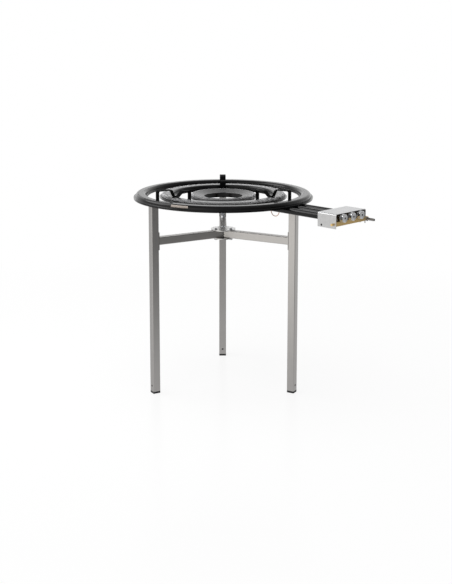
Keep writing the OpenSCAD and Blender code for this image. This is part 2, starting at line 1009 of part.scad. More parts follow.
module hose_nozzle() {
    barb_l = hose_tail_l / hose_barbs;
    barb_d = hose_tail_d + 2 * hose_barb_out;
    front = manifold_x + manifold_w / 2;
    color(zinc)
        on_feed()
            translate([front, inlet_y, manifold_z])
                rotate([0, 90, 0])
                    difference() {
                        union() {
                            translate([0, 0, -inlet_spigot_l])
                                cylinder(r = inlet_bore_r - running_gap, h = inlet_spigot_l + eps);
                            hex_prism(inlet_hex_af, inlet_hex_l);
                            translate([0, 0, inlet_hex_l - eps])
                                cylinder(d = hose_tail_d, h = hose_tail_l);
                            for (k = [0:hose_barbs - 1])
                                translate([0, 0, inlet_hex_l + k * barb_l])
                                    cylinder(d1 = barb_d, d2 = hose_tail_d, h = barb_l);
                        }
                        translate([0, 0, -manifold_w])
                            cylinder(r = hose_bore_r, h = 2 * manifold_w + hose_tail_l + inlet_hex_l);
                    }
}

module tap_body(i) {
    spindle_hole_r = spindle_r + running_gap;
    plug_hole_r = plug_r + plug_gap;
    color(brass)
        difference() {
            union() {
                on_tap(i, barrel_back)
                    cylinder(r = barrel_r, h = barrel_l);
                on_nose(i, barrel_back - nose_l)
                    cylinder(r = nose_r, h = nose_l + eps);
                on_feed()
                    translate([manifold_x, feed_slots[i], manifold_top_z])
                        cylinder(r = stem_r, h = tap_z - manifold_top_z);
            }
            on_tap(i, plug_back - seat_gap)
                cylinder(r = plug_hole_r, h = plug_l + 2 * seat_gap);
            on_tap(i, plug_front)
                cylinder(r = spindle_hole_r, h = barrel_front - plug_front + eps);
            on_nose(i, barrel_back - nose_l - eps)
                cylinder(r = nose_bore_r, h = nose_l + plug_back - barrel_back + 2 * eps);
        }
}

module injectors() {
    color(brass)
        for (i = [0:2])
            on_nose(i, injector_hex_back)
                difference() {
                    hex_prism(injector_af, injector_l);
                    translate([0, 0, -eps])
                        cylinder(r = jet_r, h = injector_l + 2 * eps);
                }
}

module tap_plug(i) {
    color(brass)
        on_tap(i, plug_back)
            difference() {
                cylinder(r = plug_r, h = plug_l);
                translate([0, 0, plug_l - plug_bore_l])
                    cylinder(r = plug_bore_r, h = plug_bore_l + eps);
                translate([-plug_r - eps, 0, plug_port_inset])
                    rotate([0, 90, 0])
                        cylinder(r = plug_port_r, h = plug_r);
            }
}

module tap_spindle(i) {
    color(zinc)
        on_tap(i, spindle_back)
            difference() {
                cylinder(r = spindle_r, h = spindle_l);
                translate([spindle_r - spindle_flat, -spindle_r, spindle_l - knob_l])
                    cube([spindle_r, 2 * spindle_r, knob_l + eps]);
            }
}

// Point j round the wire at step k along the coil
function coil_point(k, j) =
    let (turn = full_turn * k / coil_steps_per_turn, round = full_turn * j / coil_sides)
    let (r = spring_r + spring_wire_r * cos(round))
    [r * cos(turn), r * sin(turn), coil_rise * k / coil_steps + spring_wire_r * sin(round)];

module tap_spring(i) {
    last = coil_steps * coil_sides;
    points = [for (k = [0:coil_steps], j = [0:coil_sides - 1]) coil_point(k, j)];
    sides = [
        for (k = [0:coil_steps - 1], j = [0:coil_sides - 1])
            let (n = (j + 1) % coil_sides, base = k * coil_sides, next = base + coil_sides)
            each [[base + j, next + n, next + j], [base + j, base + n, next + n]]
    ];
    ends = [
        for (j = [1:coil_sides - 2])
            each [[0, j + 1, j], [last, last + j, last + j + 1]]
    ];
    color(zinc)
        on_tap(i, spindle_back - seat_gap / 2 - coil_rise - spring_wire_r)
            polyhedron(points, concat(sides, ends));
}

module knob(i) {
    r = knob_d / 2;
    skirt_r = r + knob_skirt_out;
    color(chrome)
        on_tap(i, knob_back)
            difference() {
                rotate_extrude()
                    polygon([
                        [0, 0], [skirt_r, 0], [skirt_r, knob_skirt_l], [r, knob_skirt_l],
                        [r, knob_l - knob_edge], [r - knob_edge, knob_l],
                        [knob_dish_r, knob_l], [knob_dish_r - knob_edge, knob_l - knob_dish_h],
                        [0, knob_l - knob_dish_h]
                    ]);
                difference() {
                    translate([0, 0, -eps])
                        cylinder(r = spindle_r + running_gap, h = knob_l + 2 * eps);
                    translate([spindle_r - spindle_flat + running_gap, -spindle_r, -knob_l])
                        cube([spindle_r, 2 * spindle_r, 3 * knob_l]);
                }
                translate([-r, -knob_mark_w / 2, knob_l - knob_mark_h])
                    cube([r - knob_dish_r + knob_edge, knob_mark_w, 2 * knob_mark_h]);
            }
}

// Thermocouple lead

// Straight run of the lead along the feed direction
module lead_run(x0, x1) {
    translate([x0, lead_y, lead_z])
        rotate([0, 90, 0])
            cylinder(r = lead_r, h = x1 - x0, $fn = 24);
}

// Quarter bend in the upright plane of the lead, turned by an angle
module lead_bend(x, z, r, turn, sweep) {
    translate([x, lead_y, z])
        rotate([90, 0, 0])
            rotate([0, 0, turn])
                rotate_extrude(angle = sweep)
                    translate([r, 0])
                        circle(lead_r, $fn = 24);
}

module thermocouple_lead() {
    loop_in = lead_loop_x - lead_loop_r - lead_bend_r;
    loop_out = lead_loop_x + lead_loop_r + lead_bend_r;
    low_z = lead_z - lead_bend_r;
    color(copper)
        on_feed() {
            lead_run(loop_out, lead_rear);
            lead_bend(loop_out, low_z, lead_bend_r, 90, 90);
            lead_bend(lead_loop_x, low_z, lead_loop_r, 180, 180);
            lead_bend(loop_in, low_z, lead_bend_r, 0, 90);
            lead_run(lead_tip_x + lead_bend_r, loop_in);
            lead_bend(lead_tip_x + lead_bend_r, lead_z + lead_bend_r, lead_bend_r, 180, 90);
            translate([lead_tip_x, lead_y, lead_z + lead_bend_r])
                cylinder(r = lead_tip_r, h = lead_tip_h, $fn = 32);
        }
}

hub_plate_top();
hub_plate_bottom();
hub_bolts();
hub_nuts();
crossbar(0);  // back_crossbar
leg(0);  // back_leg
cleat(0);  // back_cleat
cleat_bolts(0);  // back_cleat_bolts
foot(0);  // back_foot
foot_rivet(0);  // back_foot_rivet
crossbar(1);  // left_crossbar
leg(1);  // left_leg
cleat(1);  // left_cleat
cleat_bolts(1);  // left_cleat_bolts
foot(1);  // left_foot
foot_rivet(1);  // left_foot_rivet
crossbar(2);  // right_crossbar
leg(2);  // right_leg
cleat(2);  // right_cleat
cleat_bolts(2);  // right_cleat_bolts
foot(2);  // right_foot
foot_rivet(2);  // right_foot_rivet
outer_ring_top();
outer_ring_pan();
middle_ring_top();
middle_ring_pan();
inner_ring_top();
inner_ring_pan();
pan_support(0);  // pan_support_back
pan_support(1);  // pan_support_left
pan_support(2);  // pan_support_right
support_rivets();
outer_feed_tube();
middle_feed_tube();
inner_feed_tube();
box_cover();
box_back_plate();
box_screws();
manifold();
manifold_plugs();
hose_nozzle();
tap_body(0);  // outer_tap_body
tap_body(1);  // middle_tap_body
tap_body(2);  // inner_tap_body
injectors();
tap_plug(0);  // outer_tap_plug
tap_plug(1);  // middle_tap_plug
tap_plug(2);  // inner_tap_plug
tap_spindle(0);  // outer_tap_spindle
tap_spindle(1);  // middle_tap_spindle
tap_spindle(2);  // inner_tap_spindle
tap_spring(0);  // outer_tap_spring
tap_spring(1);  // middle_tap_spring
tap_spring(2);  // inner_tap_spring
knob(0);  // outer_tap_knob
knob(1);  // middle_tap_knob
knob(2);  // inner_tap_knob
thermocouple_lead();
blank_plate();
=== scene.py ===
"""Looks of a three-ring gas paella burner on a folding tripod stand.

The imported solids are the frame. This script gives each of them a procedural finish, adds
the small ports, the weld beads and a bolt that the solids leave out, and sets up the studio.
Lengths are in metres, +Z is up, and the origin lies on the floor below the rings' axis.
"""

import logging
import math
from dataclasses import dataclass
from enum import Enum
from typing import Sequence

import bmesh
import bpy
from mathutils import Matrix, Vector


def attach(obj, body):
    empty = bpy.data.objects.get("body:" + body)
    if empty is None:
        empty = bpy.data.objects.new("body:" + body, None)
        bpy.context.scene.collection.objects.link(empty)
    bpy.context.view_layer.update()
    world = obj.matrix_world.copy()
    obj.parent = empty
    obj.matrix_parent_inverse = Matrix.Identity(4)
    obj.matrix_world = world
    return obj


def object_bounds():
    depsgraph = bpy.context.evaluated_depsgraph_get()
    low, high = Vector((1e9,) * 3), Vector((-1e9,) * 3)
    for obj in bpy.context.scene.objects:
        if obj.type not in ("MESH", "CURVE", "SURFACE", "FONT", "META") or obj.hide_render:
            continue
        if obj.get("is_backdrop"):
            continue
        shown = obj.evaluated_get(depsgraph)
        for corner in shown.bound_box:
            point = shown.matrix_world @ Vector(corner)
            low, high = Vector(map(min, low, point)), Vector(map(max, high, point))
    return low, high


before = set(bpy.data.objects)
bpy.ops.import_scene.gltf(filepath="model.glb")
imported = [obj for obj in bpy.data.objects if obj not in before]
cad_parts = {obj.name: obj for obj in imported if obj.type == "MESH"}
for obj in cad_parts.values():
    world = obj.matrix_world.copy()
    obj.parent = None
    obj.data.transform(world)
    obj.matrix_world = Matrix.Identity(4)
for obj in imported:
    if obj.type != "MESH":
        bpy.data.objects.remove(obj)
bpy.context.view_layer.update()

LOG = logging.getLogger("paella_burner")
FULL_TURN = 2 * math.pi

Colour = tuple[float, float, float]
Point = tuple[float, float, float]
Span = tuple[float, float]
Loop = list[bmesh.types.BMVert]
Node = bpy.types.Node
Shape = bmesh.types.BMesh
Socket = bpy.types.NodeSocket


class Arm(Enum):
    """One arm of the tripod: its name, its angle seen from above and the body it rides on."""

    BACK = ("back", 90.0, "stand")
    LEFT = ("left", 210.0, "left_arm")
    RIGHT = ("right", 330.0, "right_arm")

    @property
    def label(self) -> str:
        """Name that the arm's solids start with."""
        return self.value[0]

    @property
    def angle(self) -> float:
        """Angle of the arm in radians."""
        return math.radians(self.value[1])

    @property
    def body(self) -> str:
        """Body that the arm's pieces ride on."""
        return self.value[2]


class Ring(Enum):
    """One burner ring, by the name that its solids and its tap's solids start with."""

    OUTER = "outer"
    MIDDLE = "middle"
    INNER = "inner"


class Grain(Enum):
    """Direction in which a metal was brushed or drawn, as the stretch of its lines."""

    UPRIGHT = (1.0, 1.0, 0.012)
    ALONG_ARM = (0.012, 1.0, 1.0)
    EVEN = (1.0, 1.0, 1.0)


def grey(level: float) -> Colour:
    """Gives a neutral colour."""
    return (level, level, level)


def opaque(colour: Colour, gain: float = 1.0) -> tuple[float, float, float, float]:
    """Gives a colour with full alpha, brightened by a gain."""
    return (*(min(1.0, part * gain) for part in colour), 1.0)


class Graph:
    """A node tree, built by short calls."""

    def __init__(self, tree: bpy.types.NodeTree) -> None:
        """Takes the node tree of a material or of the world, and empties it."""
        self.tree = tree
        tree.nodes.clear()

    def node(self, kind: str, **values: object) -> Node:
        """Adds a node and sets its properties.

        Args:
            kind: Blender's name of the node type.
            values: Properties of the node.

        Returns:
            The new node.
        """
        made = self.tree.nodes.new(kind)
        for key, value in values.items():
            setattr(made, key, value)
        return made

    def link(self, source: Socket, target: Socket) -> None:
        """Joins an output to an input."""
        self.tree.links.new(source, target)

    def feed(self, target: Socket, value: object) -> None:
        """Links a socket to an input, or sets the input to a plain value.

        Args:
            target: The input.
            value: An output, or a number or colour.
        """
        if isinstance(value, Socket):
            self.link(value, target)
        else:
            target.default_value = value

    def compute(self, operation: str, *inputs: object, clamp: bool = False) -> Socket:
        """Adds a math node.

        Args:
            operation: Name of the operation.
            inputs: Sockets or numbers.
            clamp: Whether the result stays between 0 and 1.

        Returns:
            The result.
        """
        made = self.node("ShaderNodeMath", operation=operation, use_clamp=clamp)
        for target, value in zip(made.inputs, inputs):
            self.feed(target, value)
        return made.outputs[0]

    def weigh(self, first: Socket, second: Socket, share: float) -> Socket:
        """Adds two patterns up, the first by a share and the second by the rest."""
        rest = self.compute("MULTIPLY", second, 1.0 - share)
        return self.compute("MULTIPLY_ADD", first, share, rest)

    def place(self, stretch: Point = (1.0, 1.0, 1.0), turn: float = 0.0) -> Socket:
        """Gives the place on the object in its own frame.

        Args:
            stretch: Stretch along each axis after the turn.
            turn: Turn about Z in radians.

        Returns:
            The vector.
        """
        source = self.node("ShaderNodeTexCoord")
        turned = self.node("ShaderNodeMapping")
        turned.inputs["Rotation"].default_value = (0.0, 0.0, turn)
        stretched = self.node("ShaderNodeMapping")
        stretched.inputs["Scale"].default_value = stretch
        self.link(source.outputs["Object"], turned.inputs["Vector"])
        self.link(turned.outputs[0], stretched.inputs["Vector"])
        return stretched.outputs[0]

    def length(self, vector: Socket) -> Socket:
        """Measures a vector.

        Args:
            vector: The vector.

        Returns:
            Its length.
        """
        made = self.node("ShaderNodeVectorMath", operation="LENGTH")
        self.link(vector, made.inputs[0])
        return made.outputs["Value"]

    def noise(self, vector: Socket, scale: float, detail: float) -> Socket:
        """Adds a noise texture.

        Args:
            vector: Where it is read.
            scale: How fine it is.
            detail: How many finer layers it has.

        Returns:
            Its strength, around one half.
        """
        made = self.node("ShaderNodeTexNoise")
        made.inputs["Scale"].default_value = scale
        made.inputs["Detail"].default_value = detail
        self.link(vector, made.inputs["Vector"])
        return made.outputs[0]

    def span(self, value: Socket, reach: Span, onto: Span = (0.0, 1.0)) -> Socket:
        """Maps one range of a value onto another, clamped.

        Args:
            value: The value.
            reach: Its range.
            onto: Range of the result.

        Returns:
            The result.
        """
        made = self.node("ShaderNodeMapRange", clamp=True)
        for target, number in zip(made.inputs[1:5], (*reach, *onto)):
            target.default_value = number
        self.link(value, made.inputs["Value"])
        return made.outputs[0]

    def mix(self, share: Socket, first: object, second: object) -> Socket:
        """Mixes two colours.

        Args:
            share: Share of the second colour.
            first: Colour at a share of 0, as a socket or a value.
            second: Colour at a share of 1, as a socket or a value.

        Returns:
            The mixed colour.
        """
        made = self.node("ShaderNodeMix", data_type="RGBA")
        self.link(share, made.inputs["Factor"])
        self.feed(made.inputs[6], first)
        self.feed(made.inputs[7], second)
        return made.outputs[2]

    def blend(self, share: object, first: Node, second: Node) -> Node:
        """Mixes two shaders.

        Args:
            share: Share of the second shader, as a socket or a number.
            first: Shader at a share of 0.
            second: Shader at a share of 1.

        Returns:
            The mixing node.
        """
        made = self.node("ShaderNodeMixShader")
        self.feed(made.inputs[0], share)
        self.link(first.outputs[0], made.inputs[1])
        self.link(second.outputs[0], made.inputs[2])
        return made

    def bump(self, height: Socket, strength: float, depth: float) -> Socket:
        """Turns a height into a normal.

        Args:
            height: Height map.
            strength: Share of the full effect.
            depth: Depth of the relief in metres.

        Returns:
            The normal.
        """
        made = self.node("ShaderNodeBump")
        made.inputs["Strength"].default_value = strength
        made.inputs["Distance"].default_value = depth
        self.link(height, made.inputs["Height"])
        return made.outputs[0]

    def put_out(self, kind: str, shader: Node) -> None:
        """Adds the output node of a material or of the world, and gives it a shader."""
        self.link(shader.outputs[0], self.node(kind).inputs["Surface"])


# Range that holds most values of a noise
PATTERN_REACH: Span = (0.3, 0.7)


@dataclass(frozen=True)
class Finish:
    """A surface finish with its own procedural material."""

    name: str
    colour: Colour
    roughness: float

    def material(self) -> bpy.types.Material:
        """Makes the finish's material on first use.

        Returns:
            The material.
        """
        known = bpy.data.materials.get(self.name)
        if known is not None:
            return known
        made = bpy.data.materials.new(self.name)
        made.use_nodes = True
        graph = Graph(made.node_tree)
        shader = graph.node("ShaderNodeBsdfPrincipled")
        shader.inputs["Base Color"].default_value = opaque(self.colour)
        shader.inputs["Roughness"].default_value = self.roughness
        self.shade(graph, shader)
        graph.put_out("ShaderNodeOutputMaterial", shader)
        return made

    def shade(self, graph: Graph, shader: Node) -> None:
        """Adds the nodes that each finish has of its own."""
        raise NotImplementedError

    def vary(
        self, graph: Graph, shader: Node, pattern: Socket, tint: float, spread: float
    ) -> None:
        """Lets a pattern change colour and roughness a little.

        Args:
            graph: Tree of the material.
            shader: Its shader.
            pattern: Pattern around one half.
            tint: Share by which the colour darkens and brightens.
            spread: How far the roughness moves each way.
        """
        share = graph.span(pattern, PATTERN_REACH)
        shades = opaque(self.colour, 1.0 - tint), opaque(self.colour, 1.0 + tint)
        graph.link(graph.mix(share, *shades), shader.inputs["Base Color"])
        limits = self.roughness - spread, self.roughness + spread
        graph.link(graph.span(pattern, PATTERN_REACH, limits), shader.inputs["Roughness"])


@dataclass(frozen=True)
class Enamel(Finish):
    """Fired enamel with a slight orange peel and clouds in its gloss."""

    index: float = 1.4
    cloud_scale: float = 14.0
    cloud_detail: float = 5.0
    tint: float = 0.25
    spread: float = 0.03
    peel_scale: float = 300.0
    peel_detail: float = 2.0
    peel_strength: float = 0.2
    peel_depth: float = 0.00006

    def shade(self, graph: Graph, shader: Node) -> None:
        """Adds the peel and the clouds.

        Args:
            graph: Tree of the material.
            shader: Its shader.
        """
        shader.inputs["IOR"].default_value = self.index
        place = graph.place()
        clouds = graph.noise(place, self.cloud_scale, self.cloud_detail)
        self.vary(graph, shader, clouds, self.tint, self.spread)
        peel = graph.noise(place, self.peel_scale, self.peel_detail)
        normal = graph.bump(peel, self.peel_strength, self.peel_depth)
        graph.link(normal, shader.inputs["Normal"])


@dataclass(frozen=True)
class Metal(Finish):
    """Bare metal, brushed, drawn or plated."""

    grain: Grain = Grain.EVEN
    turn: float = 0.0
    fineness: float = 900.0
    tint: float = 0.06
    spread: float = 0.05
    detail: float = 4.0
    cloud_scale: float = 22.0
    line_share: float = 0.6
    relief_strength: float = 0.25
    relief_depth: float = 0.00005

    def shade(self, graph: Graph, shader: Node) -> None:
        """Adds the brush lines, which change tone, gloss and relief together.

        Args:
            graph: Tree of the material.
            shader: Its shader.
        """
        shader.inputs["Metallic"].default_value = 1.0
        along = graph.place(self.grain.value, -self.turn)
        lines = graph.noise(along, self.fineness, self.detail)
        clouds = graph.noise(graph.place(), self.cloud_scale, self.detail)
        both = graph.weigh(lines, clouds, self.line_share)
        self.vary(graph, shader, both, self.tint, self.spread)
        normal = graph.bump(lines, self.relief_strength, self.relief_depth)
        graph.link(normal, shader.inputs["Normal"])


@dataclass(frozen=True)
class Lead(Metal):
    """Drawn tube whose tip, near the burner's axis, has a steel sheath."""

    sheath: Colour = (0.30, 0.295, 0.29)
    sheath_reach: Span = (0.160, 0.163)

    def shade(self, graph: Graph, shader: Node) -> None:
        """Adds the drawn lines, then the sheath's colour inside its reach.

        Args:
            graph: Tree of the material.
            shader: Its shader.
        """
        super().shade(graph, shader)
        target = shader.inputs["Base Color"]
        drawn = target.links[0].from_socket
        from_axis = graph.length(graph.place((1.0, 1.0, 0.0)))
        share = graph.span(from_axis, self.sheath_reach)
        graph.link(graph.mix(share, opaque(self.sheath), drawn), target)


@dataclass(frozen=True)
class Galvanised(Finish):
    """Bright galvanised sheet with a faint spangle."""

    spangle_scale: float = 75.0
    spangle_share: float = 0.3
    flow_stretch: Point = (1.0, 1.0, 0.2)
    flow_scale: float = 160.0
    flow_detail: float = 4.0
    tint: float = 0.05
    spread: float = 0.05

    def shade(self, graph: Graph, shader: Node) -> None:
        """Adds the crystals, each a little lighter or darker, and the flow of the zinc.

        Args:
            graph: Tree of the material.
            shader: Its shader.
        """
        shader.inputs["Metallic"].default_value = 1.0
        crystals = graph.node("ShaderNodeTexVoronoi")
        crystals.inputs["Scale"].default_value = self.spangle_scale
        graph.link(graph.place(), crystals.inputs["Vector"])
        tone = graph.node("ShaderNodeSeparateColor")
        graph.link(crystals.outputs["Color"], tone.inputs[0])
        flow = graph.noise(graph.place(self.flow_stretch), self.flow_scale, self.flow_detail)
        both = graph.weigh(tone.outputs[0], flow, self.spangle_share)
        self.vary(graph, shader, both, self.tint, self.spread)


@dataclass(frozen=True)
class Moulded(Finish):
    """Moulded plastic, film, or a near-black painted shade, with a fine grain."""

    tone_scale: float = 60.0
    tone_detail: float = 4.0
    tint: float = 0.08
    spread: float = 0.05
    grain_scale: float = 1500.0
    grain_detail: float = 2.0
    grain_strength: float = 0.2
    grain_depth: float = 0.0001

    def shade(self, graph: Graph, shader: Node) -> None:
        """Adds the grain and slow changes of tone.

        Args:
            graph: Tree of the material.
            shader: Its shader.
        """
        place = graph.place()
        tones = graph.noise(place, self.tone_scale, self.tone_detail)
        self.vary(graph, shader, tones, self.tint, self.spread)
        grain = graph.noise(place, self.grain_scale, self.grain_detail)
        normal = graph.bump(grain, self.grain_strength, self.grain_depth)
        graph.link(normal, shader.inputs["Normal"])


STEEL: Colour = (0.60, 0.585, 0.57)
STEEL_ROUGHNESS = 0.34
ENAMEL = Enamel("black_enamel", (0.003, 0.003, 0.0033), 0.14)
DISH_ENAMEL = Enamel("inner_enamel", (0.022, 0.022, 0.0225), 0.26, index=1.7)
STRIP_ENAMEL = Enamel("support_enamel", (0.004, 0.004, 0.0043), 0.5, index=1.05)
# Light grey of the port rims is a painted highlight: the glint that the raised enamel collars
# catch
RIM_GLINT_ENAMEL = Enamel("painted_glint_port_rims", (0.46, 0.46, 0.47), 0.4)
# Near-black port mouths are painted shade: they stand in for the dark inside of each port hole
PORT_PAINTED_SHADE = Moulded("painted_port_shade", grey(0.008), 0.95)
LEG_STEEL = Metal("leg_steel", STEEL, STEEL_ROUGHNESS, Grain.UPRIGHT)
PLATE_STEEL = Metal("plate_steel", STEEL, STEEL_ROUGHNESS, fineness=500.0)
HUB_STEEL = Metal("hub_steel", (0.76, 0.755, 0.75), 0.26, fineness=500.0)
WELD_STEEL = Metal("weld_steel", (0.46, 0.43, 0.40), 0.4, fineness=300.0, tint=0.15)
GALVANISED = Galvanised("galvanised_sheet", (0.70, 0.705, 0.71), 0.36)
ZINC = Metal("zinc_plate", (0.70, 0.71, 0.73), 0.3, fineness=700.0)
CHROME = Metal("knob_chrome", (0.86, 0.87, 0.88), 0.24, spread=0.03, tint=0.02)
BRASS = Metal("machined_brass", (0.98, 0.70, 0.32), 0.46, tint=0.08)
COPPER = Lead("drawn_copper", (0.80, 0.48, 0.34), 0.3, tint=0.14, fineness=200.0)
FOOT_PLASTIC = Moulded("foot_plastic", (0.025, 0.025, 0.026), 0.5)
BLANK_FILM = Moulded("blank_film", (0.32, 0.28, 0.245), 0.5)
BLACK_OXIDE = Metal("black_oxide", (0.07, 0.07, 0.072), 0.36, fineness=500.0)
# Tap bodies darkened to near black: painted shade for their place deep inside the hood
SHADED_TAP_BRASS = Metal("painted_shade_tap_brass", (0.13, 0.10, 0.06), 0.42, tint=0.15)
INLET_STEEL = Metal("inlet_steel", (0.36, 0.35, 0.34), 0.3, fineness=500.0)


def dress(finish: Finish, *nodes: str) -> None:
    """Gives solids a finish.

    Args:
        finish: The finish.
        nodes: Names of the solids.
    """
    for name in nodes:
        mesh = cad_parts[name].data
        mesh.materials.clear()
        mesh.materials.append(finish.material())
    LOG.info("%s: %s", finish.name, ", ".join(nodes))


def add_object(name: str, data: bpy.types.ID) -> bpy.types.Object:
    """Puts an object with its data into the scene.

    Args:
        name: Name of the object.
        data: Its mesh, lamp or camera.

    Returns:
        The new object.
    """
    made = bpy.data.objects.new(name, data)
    bpy.context.scene.collection.objects.link(made)
    return made


def add_mesh(name: str, shape: Shape, material: bpy.types.Material) -> bpy.types.Object:
    """Turns a shape into an object.

    Args:
        name: Name of the object.
        shape: Its geometry, used up here.
        material: Its material.

    Returns:
        The new object.
    """
    mesh = bpy.data.meshes.new(name)
    shape.to_mesh(mesh)
    shape.free()
    mesh.materials.append(material)
    return add_object(name, mesh)


def make_piece(
    name: str, shape: Shape, finish: Finish, body: str, smooth: bool = True
) -> bpy.types.Object:
    """Turns a shape into a piece that rides on a body.

    Args:
        name: Name of the piece.
        shape: Its geometry, used up here.
        finish: Its finish.
        body: Body that it rides on.
        smooth: Whether its faces are shaded as one curved skin.

    Returns:
        The new object.
    """
    bmesh.ops.recalc_face_normals(shape, faces=shape.faces)
    for face in shape.faces:
        face.smooth = smooth
    made = add_mesh(name, shape, finish.material())
    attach(made, body)
    return made


def join_loops(shape: Shape, loops: Sequence[Loop], capped: bool = True) -> None:
    """Joins a row of vertex loops into one closed skin.

    Args:
        shape: Geometry that the loops belong to.
        loops: Loops of the same length, from one end to the other.
        capped: Whether the two end loops get caps, or are joined to each other.
    """
    sides = len(loops[0])
    highs = loops[1:] if capped else [*loops[1:], loops[0]]
    for low, high in zip(loops, highs):
        for k in range(sides):
            following = (k + 1) % sides
            shape.faces.new((low[k], low[following], high[following], high[k]))
    if capped:
        shape.faces.new(loops[0][::-1])
        shape.faces.new(loops[-1])


def add_turned(
    shape: Shape, sides: int, profile: Sequence[Span], place: Matrix, capped: bool = True
) -> None:
    """Adds a closed turned form with flat sides.

    Args:
        shape: Geometry that it is added to.
        sides: Number of its sides.
        profile: Radius and height of each level.
        place: Frame that it stands in, with its axis along +Z.
        capped: Whether it is solid, with two caps, or a collar round a hole.
    """
    angles = [FULL_TURN * k / sides for k in range(sides)]
    loops = [
        [shape.verts.new(place @ Vector((r * math.cos(a), r * math.sin(a), z))) for a in angles]
        for r, z in profile
    ]
    join_loops(shape, loops, capped)


class SubAssembly:
    """A group of solids, and the pieces that the scene adds to it."""

    def dress(self) -> None:
        """Finishes the solids of the group."""
        raise NotImplementedError

    def build(self) -> list[bpy.types.Object]:
        """Adds the group's own pieces and returns them; a group may have none."""
        return []


@dataclass
class Stand(SubAssembly):
    """Tripod of square tubes round a bolted hub, with welded crossbars.

    A weld bead starts at the tip's share of its radius and grows by a share at each step,
    and its ripple comes back every few steps. The bolt's radius is its place on the bar.
    """

    bar_top: float = 0.630
    tube_width: float = 0.030
    cleat_radius: float = 0.2965
    bead_radius: float = 0.0018
    bead_inset: float = 0.002
    bead_steps: int = 21
    bead_sides: int = 8
    bead_ripple: float = 0.18
    ripple_steps: int = 4
    tip_share: float = 0.35
    tip_growth: float = 0.4
    bolt_radius: float = 0.255
    washer_radius: float = 0.0115
    washer_thickness: float = 0.0018
    washer_sides: int = 40
    head_flats: float = 0.016
    head_height: float = 0.009
    head_chamfer: float = 0.0014
    head_sides: int = 6

    def dress(self) -> None:
        """Finishes the solids of the stand."""
        dress(HUB_STEEL, "hub_plate_top", "hub_plate_bottom")
        dress(ZINC, "hub_bolts", "hub_nuts")
        for arm in Arm:
            name = arm.label
            bar = Metal(f"{name}_bar_steel", STEEL, STEEL_ROUGHNESS, Grain.ALONG_ARM, arm.angle)
            dress(bar, f"{name}_crossbar")
            dress(LEG_STEEL, f"{name}_leg")
            dress(PLATE_STEEL, f"{name}_cleat")
            dress(ZINC, f"{name}_cleat_bolts")
            dress(BLACK_OXIDE, f"{name}_foot_rivet")
            dress(FOOT_PLASTIC, f"{name}_foot")

    def build(self) -> list[bpy.types.Object]:
        """Adds the weld beads of the three arms, and the bolt on the back crossbar.

        Returns:
            The pieces.
        """
        pieces = [
            make_piece(
                f"{arm.label}_weld_beads", self.weld_beads(arm), WELD_STEEL, arm.body
            )
            for arm in Arm
        ]
        bolt = self.bar_bolt()
        pieces.append(
            make_piece("back_bar_bolt", bolt, ZINC, Arm.BACK.body, smooth=False)
        )
        return pieces

    def weld_beads(self, arm: Arm) -> Shape:
        """Lays the beads between a crossbar and its cleat, above and below the bar.

        Args:
            arm: The arm.

        Returns:
            Their geometry, in place.
        """
        shape = bmesh.new()
        half = self.tube_width / 2 - self.bead_inset
        last = self.bead_steps - 1
        for level in (self.bar_top, self.bar_top - self.tube_width):
            self.bead(shape, [
                Vector((self.cleat_radius, half * (2 * k / last - 1), level))
                for k in range(self.bead_steps)
            ])
        bmesh.ops.rotate(shape, verts=shape.verts, matrix=Matrix.Rotation(arm.angle, 3, "Z"))
        return shape

    def bead(self, shape: Shape, path: Sequence[Vector]) -> None:
        """Adds one rippled bead, thinner at its tips, along an open path.

        Args:
            shape: Geometry that it is added to.
            path: Points of its centre line.
        """
        angles = [FULL_TURN * k / self.bead_sides for k in range(self.bead_sides)]
        last = len(path) - 1
        loops: list[Loop] = []
        for step, point in enumerate(path):
            ahead = path[min(step + 1, last)] - path[max(step - 1, 0)]
            turn = ahead.to_track_quat("Z", "Y").to_matrix()
            fullness = min(1.0, self.tip_share + min(step, last - step) * self.tip_growth)
            ripple = 1.0 + self.bead_ripple * math.sin(FULL_TURN * step / self.ripple_steps)
            size = self.bead_radius * fullness * ripple
            loops.append([
                shape.verts.new(point + turn @ Vector((math.cos(a), math.sin(a), 0.0)) * size)
                for a in angles
            ])
        join_loops(shape, loops)

    def bar_bolt(self) -> Shape:
        """Makes the hexagon bolt with a washer on top of the back crossbar.

        Returns:
            Its geometry, in place.
        """
        shape = bmesh.new()
        turn = Matrix.Rotation(Arm.BACK.angle, 4, "Z")
        place = turn @ Matrix.Translation((self.bolt_radius, 0.0, self.bar_top))
        rim, seat = self.washer_radius, self.washer_thickness
        add_turned(shape, self.washer_sides, ((rim, 0.0), (rim, seat)), place)
        corner = self.head_flats / math.sqrt(3.0)
        top = seat + self.head_height
        head = (
            (corner, seat),
            (corner, top - self.head_chamfer),
            (corner - self.head_chamfer, top),
        )
        add_turned(shape, self.head_sides, head, place)
        return shape


@dataclass(frozen=True)
class PortBand:
    """Rows of close-set small ports on the dome of one ring.

    The rows on the rounded shoulder are given by their degrees from the crown, and those on
    the level crown by their radius.
    """

    ring: Ring
    wall_radius: float
    crest: float
    shoulder: float
    crown_radii: tuple[float, ...] = ()
    shoulder_degrees: tuple[float, ...] = (15.0, 45.0, 75.0)
    pitch: float = 0.0076

    def places(self) -> list[Matrix]:
        """Sets out the ports, each row half a pitch on from the one before.

        Returns:
            Frames of the ports, +Z out of the enamel.
        """
        rows: list[tuple[float, float, float]] = []
        for degrees in self.shoulder_degrees:
            tilt = math.radians(degrees)
            radius = self.wall_radius - self.shoulder * (1.0 - math.sin(tilt))
            rows.append((tilt, radius, self.crest - self.shoulder * (1.0 - math.cos(tilt))))
        rows.extend((0.0, radius, self.crest) for radius in self.crown_radii)
        count = round(FULL_TURN * self.wall_radius / self.pitch)
        return [
            Matrix.Rotation((k + row / 2) * FULL_TURN / count, 4, "Z")
            @ Matrix.Translation((radius, 0.0, level))
            @ Matrix.Rotation(tilt, 4, "Y")
            for row, (tilt, radius, level) in enumerate(rows)
            for k in range(count)
        ]


